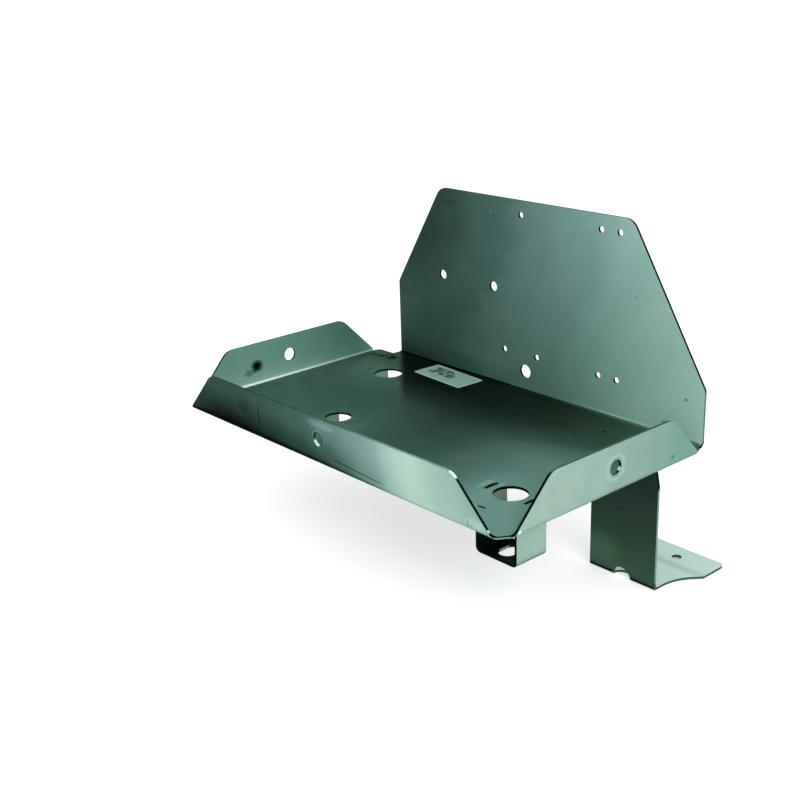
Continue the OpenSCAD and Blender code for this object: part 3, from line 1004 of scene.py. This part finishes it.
def wall_marks_and_painted_light(n, place, tone):
    """A dull patch by the top left corner, specks, painted highlights along the fold at the right and at
    its end, and painted shade in the crease at the wall's foot.
    """
    for middle, reach, ragged, amount in (
        ((91.0, 208.0, 143.0), (9.0, 4.0, 4.5), 0.35, -0.035),
        ((137.0, 208.0, 142.0), (2.0, 3.0, 2.6), 0.15, 0.07),
        ((328.9, 208.0, 32.6), (2.4, 3.0, 1.6), 0.20, -0.22),
        ((310.9, 208.0, 11.2), (2.4, 3.0, 1.6), 0.20, -0.25),
        ((281.9, 208.0, 99.0), (1.6, 3.0, 1.6), 0.20, -0.10),
        # painted highlight at the right end of the fold
        ((343.5, 207.0, 5.0), (5.0, 4.0, 2.6), 0.0, 0.40),
    ):
        tone = place.lay(tone, place.spot(middle, reach, ragged), amount)
    # painted highlight along the fold at the right
    fold = n.math("MULTIPLY", place.band(place.z, 3.9, 5.3, 0.8), n.smooth(place.x, 200.0, 330.0))
    tone = place.lay(tone, fold, 0.36)
    # painted shade in the crease at the wall's foot
    return place.lay(tone, n.smooth(place.z, 4.0, 3.1), -0.5)


def front_tone(n, x, z):
    """Painted shade dark at the left, with a painted sheen right of the middle, where a bright light is
    reflected.
    """
    high = n.profile(
        x,
        [
            (10, 0.35), (60, 0.31), (118, 0.35), (170, 0.43),
            (235, 0.68), (262, 0.86), (300, 0.71), (340, 0.65),
        ],
    )
    low = n.profile(
        x,
        [
            (10, 0.26), (45, 0.09), (80, 0.11), (130, 0.22),
            (185, 0.28), (240, 0.63), (270, 0.87), (340, 0.63),
        ],
    )
    return n.mix(n.smooth(z, 0.0, 30.0), low, high)


def front_marks_and_painted_light(n, place, tone):
    """A painted shadow along the lower edge, a dark streak, dark marks, a painted highlight above the hole
    by the top edge, a pale patch low at the right, a painted highlight at the right end of the fold, and
    faint pale rings round the hole.
    """
    x, z = place.x, place.z
    # painted shadow along the lower edge
    reach = n.profile(x, [(10, 4.0), (45, 8.0), (120, 6.5), (200, 6.0), (250, 2.0), (345, 1.4)])
    low = n.smooth(n.math("DIVIDE", z, reach), 1.1, 0.2)
    tone = place.lay(tone, low, -0.20)
    off_line = n.math("ABSOLUTE", n.math("SUBTRACT", z, n.profile(x, [(186, 9.6), (245, 5.4)])))
    line = n.math("MULTIPLY", n.smooth(off_line, 0.9, 0.1), place.band(x, 190.0, 240.0, 5.0))
    tone = place.lay(tone, line, -0.16)
    for middle, size, ragged, amount in (
        ((103.4, -1.0, 20.0), (1.3, 3.0, 14.0), 0.10, -0.10),
        ((84.0, -1.0, 22.0), (12.0, 3.0, 8.0), 0.30, -0.05),
        # painted highlight above the hole, by the top edge
        ((178.0, -1.0, 31.0), (20.0, 3.0, 4.0), 0.20, 0.10),
        ((321.0, -0.5, 4.6), (0.9, 3.0, 2.6), 0.10, -0.22),
        ((324.5, -0.5, 4.4), (0.8, 3.0, 2.2), 0.10, -0.14),
        ((329.0, -0.5, 6.0), (13.0, 3.0, 5.0), 0.20, 0.08),
        # painted highlight at the right end of the fold
        ((340.4, 0.0, 2.4), (1.8, 4.0, 2.6), 0.0, 0.35),
    ):
        tone = place.lay(tone, place.spot(middle, size, ragged), amount)
    hole = (FRONT_HOLE[0], -1.0, FRONT_HOLE[1])
    tone = place.lay(tone, place.ring(hole, 10.6, 1.3), 0.02)
    return place.lay(tone, place.ring(hole, 6.6, 1.0), 0.07)


def left_tone(n, place):
    """The left flange, with painted light and shade from front to back, a little paler low down, and its
    black smudge.
    """
    tone = n.profile(place.y, [(40, 0.75), (60, 0.77), (110, 0.785), (160, 0.63), (195, 0.54)])
    tone = place.lay(tone, n.smooth(place.z, 30.0, 8.0), 0.03)
    tone = place.lay(tone, place.spot((1.4, 70.4, 16.8), (5.0, 7.4, 6.6), 0.12, 0.1), -0.75)
    return place.lay(tone, place.spot((1.4, 62.0, 12.5), (5.0, 7.0, 4.0), 0.3), -0.18)


def right_tone(n, place):
    """The right flange, with painted shade from front to back, a pale ring round its hole, a few marks, a
    darker top edge and a painted highlight at the front end of its fold.
    """
    tone = n.profile(place.y, [(10, 0.69), (50, 0.70), (100, 0.67), (150, 0.645), (195, 0.61)])
    hole = (350.6, *SIDE_HOLE)
    tone = place.lay(tone, place.ring(hole, 8.4, 2.2), 0.045)
    tone = place.lay(tone, place.spot(hole, (5.0, 8.0, 8.0), 0.0, 0.6), -0.03)
    tone = place.lay(tone, place.spot((350.6, 166.0, 8.0), (4.0, 3.0, 2.0), 0.4), -0.14)
    tone = place.lay(tone, n.smooth(place.z, 35.4, 36.2), -0.20)
    # painted highlight at the front end of the fold
    return place.lay(tone, place.spot((350.0, 15.6, 2.4), (3.0, 2.0, 2.6), 0.0), 0.35)


def floor_cast(n, x, y):
    """The floor's tint: bluer at the front right corner and browner beside the wall."""
    cast = n.mix(n.smooth(x, 180.0, 240.0), tint(1.12, 1.03), tint(1.05, 0.95))
    corner = n.math("MULTIPLY", n.smooth(x, 235.0, 275.0), n.smooth(y, 110.0, 80.0))
    cast = n.mix(corner, cast, tint(0.86, 1.0))
    by_wall = n.mix(n.smooth(x, 200.0, 250.0), tint(1.10, 0.88), tint(1.28, 0.88))
    return n.mix(n.smooth(y, 150.0, 195.0), cast, by_wall)


def wall_cast(n, place):
    """The wall's tint: greener towards the right, and yellower at the foot."""
    x, z = place.x, place.z
    low = n.mix(n.smooth(x, 60.0, 120.0), tint(1.12, 1.03), tint(0.96, 0.88))
    cast = n.mix(n.smooth(z, 10.0, 80.0), low, tint(1.10, 1.09))
    share = n.math("MULTIPLY_ADD", n.smooth(z, 20.0, 140.0), -0.55, 1.0)
    cast = n.mix(n.math("MULTIPLY", n.smooth(x, 110.0, 280.0), share), cast, tint(0.72, 0.97))
    # the tint of the painted highlight along the fold
    return n.mix(place.band(z, 3.9, 5.3, 0.8), cast, tint(0.76, 0.90))


def paint_tray(n, place):
    """The tones and tints of the folded tray: floor, wall and flanges."""
    x, y, z = place.x, place.y, place.z
    tone = floor_marks(n, place, floor_tone(n, x, y))
    rear = n.smooth(y, 206.8, 207.8)
    tone = n.mix(rear, tone, wall_marks_and_painted_light(n, place, wall_tone(n, x, z)))
    cast = n.mix(rear, floor_cast(n, x, y), wall_cast(n, place))
    left = n.smooth(x, 4.2, 2.6)
    tone = n.mix(left, tone, left_tone(n, place))
    cast = n.mix(left, cast, tint(0.75, 0.92))
    # painted highlight along the left flange's inner fold, with its tint
    line = n.profile(y, [(20, 0.9), (70, 1.0), (140, 0.6), (196, 0.3)])
    line = n.math("MULTIPLY", place.band(x, 2.2, 3.9, 0.9), line)
    tone = place.lay(tone, line, 0.38)
    cast = n.mix(line, cast, tint(1.2, 1.05))
    right = n.smooth(x, 347.6, 349.4)
    tone = n.mix(right, tone, right_tone(n, place))
    cast = n.mix(right, cast, n.mix(n.smooth(y, 110.0, 190.0), tint(1.12, 0.97), tint(0.94, 0.97)))
    front = n.smooth(y, 4.2, 2.6)
    tone = n.mix(front, tone, front_marks_and_painted_light(n, place, front_tone(n, x, z)))
    front_cast = n.mix(n.smooth(x, 150.0, 60.0), tint(1.05, 1.04), tint(1.2, 1.16))
    front_cast = n.mix(n.smooth(x, 230.0, 275.0), front_cast, tint(1.02, 0.98))
    return tone, n.mix(front, cast, front_cast)


def paint_edge(n, place):
    """Cut edges, with painted light by the way they face: pale where they face up or lie low in a hole,
    nearly black on the bevels, paler where they face right, with painted highlights on a rounded corner,
    hole rims and fold ends.
    """
    x, y, z = place.x, place.y, place.z
    normal = n.add("ShaderNodeSeparateXYZ", {0: n.add("ShaderNodeNewGeometry").outputs["True Normal"]})
    across, _, up = normal.outputs
    pale = n.profile(x, [(0, 0.30), (130, 0.32), (200, 0.40), (265, 0.72), (340, 0.60)])
    front = n.smooth(y, 3.0, 1.0)
    pale = n.mix(front, 0.45, pale)
    # painted light: pale where an edge faces up, dark where it faces aside
    tone = n.mix(n.smooth(up, 0.80, 0.97), 0.07, pale)
    tab = n.math("MULTIPLY", place.band(z, 1.6, 2.3, 0.1), place.band(x, 10.0, 325.0, 2.0))
    tab = n.math("MULTIPLY", tab, place.band(y, 10.0, 200.0, 2.0))
    tone = n.mix(tab, tone, n.mix(n.smooth(x, 262.0, 275.0), floor_tone(n, x, y), 0.12))
    # painted light on edges that face right, on the leg and the feet
    right = n.math("MULTIPLY", n.smooth(across, 0.93, 0.99), place.band(z, -84.0, -12.5, 1.0))
    tone = place.lay(tone, right, 0.52)
    tone = n.mix(n.smooth(z, -84.0, -86.5), tone, 0.40)
    # painted light on the wall's right edge
    wall = n.math("MULTIPLY", n.smooth(across, 0.93, 0.99), n.smooth(x, 340.0, 343.0))
    tone = place.lay(tone, n.math("MULTIPLY", wall, place.band(z, 4.0, 42.0, 2.0)), 0.42)
    # painted highlights on the front flange's top right corner, hole rims and a fold end
    for middle, reach, amount in (
        ((311.0, 0.0, 34.4), (7.0, 5.0, 3.4), 0.9),
        ((171.0, 0.0, 16.0), (4.0, 5.0, 4.0), 0.85),
        ((169.0, 0.0, 21.0), (4.0, 5.0, 4.0), 0.22),
        ((349.0, 109.8, 16.5), (4.0, 2.4, 2.0), 0.8),
        ((337.6, 0.0, 4.4), (2.0, 5.0, 1.5), 0.7),
    ):
        tone = place.lay(tone, place.spot(middle, reach, 0.0, 0.5), amount)
    # painted highlight low on the floor's front right corner cut
    low = n.math("MULTIPLY", n.smooth(x, 332.0, 338.0), n.smooth(y, 14.0, 10.0))
    low = n.math("MULTIPLY", low, n.smooth(z, 1.3, 0.9))
    tone = place.lay(tone, low, 0.5)
    speckle = n.math("MULTIPLY", n.smooth(n.noise(place.where, 0.8, 3.0), 0.55, 0.68), front)
    return place.lay(tone, speckle, 0.15), WHITE


def paint_foot(n, place):
    """Painted light and shade: pale outside on the right, where it faces the light, and dark inside as
    painted shade, except near the hole in the floor, where painted light comes through.
    """
    outside = n.smooth(place.x, 321.2, 322.8)
    inside = n.profile(place.z, [(-41, 0.11), (-28, 0.06), (-14, 0.50), (0, 0.56)])
    bottom = n.profile(place.x, [(289, 0.09), (300, 0.14), (315, 0.27)])
    inside = n.mix(n.smooth(place.z, -37.6, -38.9), inside, bottom)
    tone = n.mix(outside, inside, n.smooth(place.z, -42.0, -36.0, 0.40, 0.69))
    return tone, n.mix(outside, tint(1.2, 0.9), tint(1.10, 0.95))


def paint_left_foot(n, place):
    """The two left feet, olive inside as seen through the floor."""
    return n.smooth(place.z, -26.0, -4.0, 0.52, 0.58), OLIVE


def paint_leg(n, place):
    """Painted light and shade: dark on the upright, pale on the foot plate, which faces up, with painted
    shade along the bottom fold and across the plate's small step.
    """
    upright = n.profile(place.z, [(-86, 0.33), (-74, 0.34), (-52, 0.265), (-25, 0.22), (2, 0.18)])
    # painted light on the upright's left middle
    upright = place.lay(upright, place.spot((302.0, 152.0, -72.0), (26.0, 9.0, 20.0), 0.0, 0.0), 0.07)
    upright = place.lay(upright, place.spot((316.8, 152.0, -36.4), (1.6, 4.0, 1.6), 0.1), -0.10)
    # painted shade along the bottom fold
    upright = place.lay(upright, n.smooth(place.z, -85.6, -87.4), -0.26)
    # painted shade across the plate's small step
    plate = n.math("MULTIPLY_ADD", place.band(place.y, 187.5, 192.8, 1.6), -0.08, 0.905)
    on_plate = n.smooth(place.y, 153.4, 156.0)
    cast = n.mix(n.smooth(place.z, -25.0, -60.0), tint(1.15, 0.95), tint(1.08, 0.82))
    return n.mix(on_plate, upright, plate), n.mix(on_plate, cast, tint(0.97, 1.04))


def build_materials():
    """The finishes, by name."""
    if "Satin steel" in bpy.data.materials:
        return
    steel_material("Satin steel", paint_tray, (0.02, 1.0, 1.0))
    steel_material("Cut edge", paint_edge, (1.0, 1.0, 0.3), 0.5)
    steel_material("Foot steel", paint_foot, (1.0, 0.02, 1.0))
    steel_material("Left foot steel", paint_left_foot, (1.0, 0.02, 1.0))
    steel_material("Leg steel", paint_leg, (0.02, 1.0, 1.0))
    paper_material()


# The label's middle and turn, and its rows of plain bars: each row's place, and each bar's start and end
LABEL_MIDDLE = (103.7, 190.8, 2.2)
LABEL_TURN = math.radians(-3.5)
BAR_HALF_HEIGHT = 1.35
LABEL_BARS = (
    (8.0, ((-22.0, -16.5), (-15.5, -11.0), (-9.5, -1.5))),
    (4.7, ((-19.5, -11.5), (-8.5, -3.5), (-1.5, 2.0))),
    (1.4, ((-20.0, -12.5), (-11.5, -6.5), (-3.5, 6.0))),
    (-1.9, ((-22.5, -14.5), (-11.0, -4.0), (-2.5, 5.5))),
)


def paper_material():
    """Matt paper with rows of plain printed bars, and slightly worn borders."""
    settings = bpy.context.scene.tray_finish
    material, n, shader = new_material("Label paper")
    place = Place(n)
    away = n.vector("SUBTRACT", place.where, LABEL_MIDDLE)
    turned = n.add("ShaderNodeVectorRotate", {"Vector": away, "Angle": -LABEL_TURN}, rotation_type="Z_AXIS")
    split = n.add("ShaderNodeSeparateXYZ", {0: turned.outputs[0]})
    along, across = split.outputs[0], split.outputs[1]
    ink = 0.0
    for height, bars in LABEL_BARS:
        row = 0.0
        for start, end in bars:
            row = n.math("MAXIMUM", place.band(along, start, end, 0.35), row)
        line = place.band(across, height - BAR_HALF_HEIGHT, height + BAR_HALF_HEIGHT, 0.35)
        ink = n.math("MAXIMUM", n.math("MULTIPLY", row, line), ink)
    worn = n.noise(place.where, 0.9, 3.0, 0.6)
    ink = n.math("MULTIPLY", ink, n.smooth(worn, 0.30, 0.50, 0.75, 1.0))
    paper = (*settings.paper, 1.0)
    border = n.smooth(n.math("ABSOLUTE", across), 11.5, 13.3)
    border = n.math("MAXIMUM", border, n.smooth(n.math("ABSOLUTE", along), 26.5, 28.5))
    pale = n.mix(0.35, paper, (0.9, 1.0, 0.95, 1.0))
    colour = n.mix(border, paper, pale)
    colour = n.mix(n.smooth(worn, 0.35, 0.75, 0.0, 0.12), colour, (0.12, 0.22, 0.20, 1.0))
    n.wire(n.mix(ink, colour, (*settings.print_ink, 1.0)), shader.inputs["Base Color"])
    shader.inputs["Roughness"].default_value = 0.7
    bump = n.add("ShaderNodeBump", {"Height": worn, "Strength": 0.05, "Distance": 0.0003})
    n.wire(bump.outputs[0], shader.inputs["Normal"])


# Operators


class OBJECT_OT_tray(bpy.types.Operator):
    """Builds the folded tray"""

    bl_idname = "object.build_tray"
    bl_label = "Build tray"

    def execute(self, context):
        scene = context.scene
        build_materials()
        bm = bmesh.new()
        groups = (scene.tray_sizes, scene.foot_sizes, scene.leg_sizes)
        build_tray_mesh(bm, *[in_mm(group) for group in groups])
        materials = [bpy.data.materials[name] for name in ("Satin steel", "Cut edge")]
        piece = finish_mesh(bm, "tray_sheet", materials)
        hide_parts("tray")
        return {"FINISHED"}


class OBJECT_OT_feet(bpy.types.Operator):
    """Builds the three feet"""

    bl_idname = "object.build_feet"
    bl_label = "Build feet"

    def execute(self, context):
        scene = context.scene
        build_materials()
        sizes = in_mm(scene.foot_sizes)
        for node, (x, y) in FOOT_PLACES.items():
            steel = "Foot steel" if node == "foot_front_right" else "Left foot steel"
            materials = [bpy.data.materials[name] for name in (steel, "Cut edge")]
            bm = bmesh.new()
            height = sizes.height if node == "foot_front_right" else sizes.left_height
            build_foot_mesh(bm, sizes, in_mm(scene.tray_sizes), x, y, height)
            piece = finish_mesh(bm, node + "_sheet", materials)
            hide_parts(node)
        return {"FINISHED"}


class OBJECT_OT_leg(bpy.types.Operator):
    """Builds the leg"""

    bl_idname = "object.build_leg"
    bl_label = "Build leg"

    def execute(self, context):
        scene = context.scene
        build_materials()
        bm = bmesh.new()
        build_leg_mesh(bm, in_mm(scene.leg_sizes), in_mm(scene.tray_sizes))
        materials = [bpy.data.materials[name] for name in ("Leg steel", "Cut edge")]
        piece = finish_mesh(bm, "leg_sheet", materials)
        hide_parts("leg")
        return {"FINISHED"}


class OBJECT_OT_label(bpy.types.Operator):
    """Dresses the paper label"""

    bl_idname = "object.build_label"
    bl_label = "Build label"

    def execute(self, context):
        build_materials()
        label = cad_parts["label"]
        label.data.materials.clear()
        label.data.materials.append(bpy.data.materials["Label paper"])
        return {"FINISHED"}


# The camera's place in the tray's own millimetres, and its heading, downward tilt and roll
CAMERA_PLACE = Vector((819.166, -485.415, 337.881))
CAMERA_TURN = (math.radians(48.98), math.radians(19.88), math.radians(-1.85))
CAMERA_LENS = 56.15
KEY_PLACE = (1.5, -0.9, 1.1)
KEY_AIM = (-0.15, -0.1, 0.1)
KEY_SIZE = 1.0
KEY_POWER = 18.0
FLOOR_REACH = 60.0
# Just below the leg's foot plate, in metres
FLOOR_LEVEL = -0.0008


def add_camera(scene):
    """The camera, where the photographer's stood."""
    azimuth, elevation, roll = CAMERA_TURN
    forward = Vector(
        (
            -math.sin(azimuth) * math.cos(elevation),
            math.cos(azimuth) * math.cos(elevation),
            -math.sin(elevation),
        )
    )
    right = forward.cross(Vector((0, 0, 1))).normalized()
    up = right.cross(forward)
    x_axis = right * math.cos(roll) + up * math.sin(roll)
    y_axis = up * math.cos(roll) - right * math.sin(roll)
    camera = bpy.data.cameras.new("Photo camera")
    camera.lens = CAMERA_LENS
    camera.sensor_width = 36.0
    camera.clip_start = 0.01
    camera.clip_end = 20.0
    holder = bpy.data.objects.new("Photo camera", camera)
    turn = Matrix((x_axis, y_axis, -forward)).transposed().to_4x4()
    holder.matrix_world = Matrix.Translation((CAMERA_PLACE - ORIGIN) * MM) @ turn
    scene.collection.objects.link(holder)
    scene.camera = holder


def add_key_lamp(scene):
    """One square lamp from the right, which gives the soft shadow."""
    lamp = bpy.data.lights.new("Key light", "AREA")
    lamp.shape = "SQUARE"
    lamp.size = KEY_SIZE
    lamp.energy = KEY_POWER
    holder = bpy.data.objects.new("Key light", lamp)
    holder.location = KEY_PLACE
    holder.rotation_euler = (Vector(KEY_AIM) - Vector(KEY_PLACE)).to_track_quat("-Z", "Y").to_euler()
    scene.collection.objects.link(holder)


def background_rays(n):
    """1 for the rays that see the plain white background, and 0 for those that light the object."""
    path = n.add("ShaderNodeLightPath")
    seen = n.math("MAXIMUM", path.outputs["Is Camera Ray"], path.outputs["Is Glossy Ray"])
    return n.math("MAXIMUM", seen, path.outputs["Is Transmission Ray"])


def white_world(scene):
    """A white surrounding, a little brighter as a background than as light."""
    world = bpy.data.worlds.new("White studio")
    scene.world = world
    world.use_nodes = True
    world.node_tree.nodes.clear()
    n = Nodes(world.node_tree)
    strength = n.math("MULTIPLY_ADD", background_rays(n), 0.2, 0.8)
    back = n.add("ShaderNodeBackground", {"Color": WHITE, "Strength": strength})
    n.add("ShaderNodeOutputWorld", {"Surface": back.outputs[0]})


def floor_material():
    """A pale matt floor that looks white, with a painted shadow below the leg's bolt hole."""
    material, n, shader = new_material("Pale floor")
    shader.inputs["Base Color"].default_value = (0.85, 0.85, 0.85, 1.0)
    shader.inputs["Roughness"].default_value = 1.0
    shader.inputs["Specular IOR Level"].default_value = 0.0
    shader.inputs["Emission Color"].default_value = WHITE
    place = Place(n)
    # painted shadow: the floor glows less below the leg's bolt hole
    hole_shadow = place.spot((*LEG_BOLT_HOLE[:2], -89.0), (14.0, 14.0, 14.0), 0.0, 0.7)
    glow = n.math("MULTIPLY_ADD", hole_shadow, -0.45, 0.5)
    n.wire(n.math("MULTIPLY", background_rays(n), glow), shader.inputs["Emission Strength"])
    return material


class OBJECT_OT_stage(bpy.types.Operator):
    """Adds the camera, the lamp, the pale floor and the white background"""

    bl_idname = "object.build_stage"
    bl_label = "Build stage"

    def execute(self, context):
        scene = context.scene
        scene.view_settings.view_transform = "Standard"
        add_camera(scene)
        white_world(scene)
        add_key_lamp(scene)
        mesh = bpy.data.meshes.new("studio_floor")
        reach = FLOOR_REACH
        corners = [(-reach, -reach), (reach, -reach), (reach, reach), (-reach, reach)]
        mesh.from_pydata([(*corner, FLOOR_LEVEL) for corner in corners], [], [(0, 1, 2, 3)])
        mesh.materials.append(floor_material())
        floor = bpy.data.objects.new("studio_floor", mesh)
        scene.collection.objects.link(floor)
        return {"FINISHED"}


class VIEW3D_PT_tray(bpy.types.Panel):
    """Lists the steps that build the tray"""

    bl_label = "Battery tray"
    bl_idname = "VIEW3D_PT_tray"
    bl_space_type = "VIEW_3D"
    bl_region_type = "UI"
    bl_category = "Tray"

    def draw(self, context):
        layout = self.layout
        for settings in ("tray_sizes", "foot_sizes", "leg_sizes", "tray_finish"):
            group = getattr(context.scene, settings)
            box = layout.box()
            for name in group.bl_rna.properties.keys():
                if name not in ("rna_type", "name"):
                    box.prop(group, name)
        for step in STEPS:
            layout.operator(step.bl_idname)


STEPS = (OBJECT_OT_tray, OBJECT_OT_feet, OBJECT_OT_leg, OBJECT_OT_label, OBJECT_OT_stage)
SETTINGS = {
    "tray_sizes": TraySettings,
    "foot_sizes": FootSettings,
    "leg_sizes": LegSettings,
    "tray_finish": FinishSettings,
}
CLASSES = (*SETTINGS.values(), *STEPS, VIEW3D_PT_tray)


def register():
    for cls in CLASSES:
        bpy.utils.register_class(cls)
    for name, kind in SETTINGS.items():
        setattr(bpy.types.Scene, name, bpy.props.PointerProperty(type=kind))


def unregister():
    for name in SETTINGS:
        delattr(bpy.types.Scene, name)
    for cls in reversed(CLASSES):
        bpy.utils.unregister_class(cls)


def main():
    register()
    for step in STEPS:
        group, name = step.bl_idname.split(".")
        getattr(getattr(bpy.ops, group), name)()


if __name__ == "__main__":
    main()
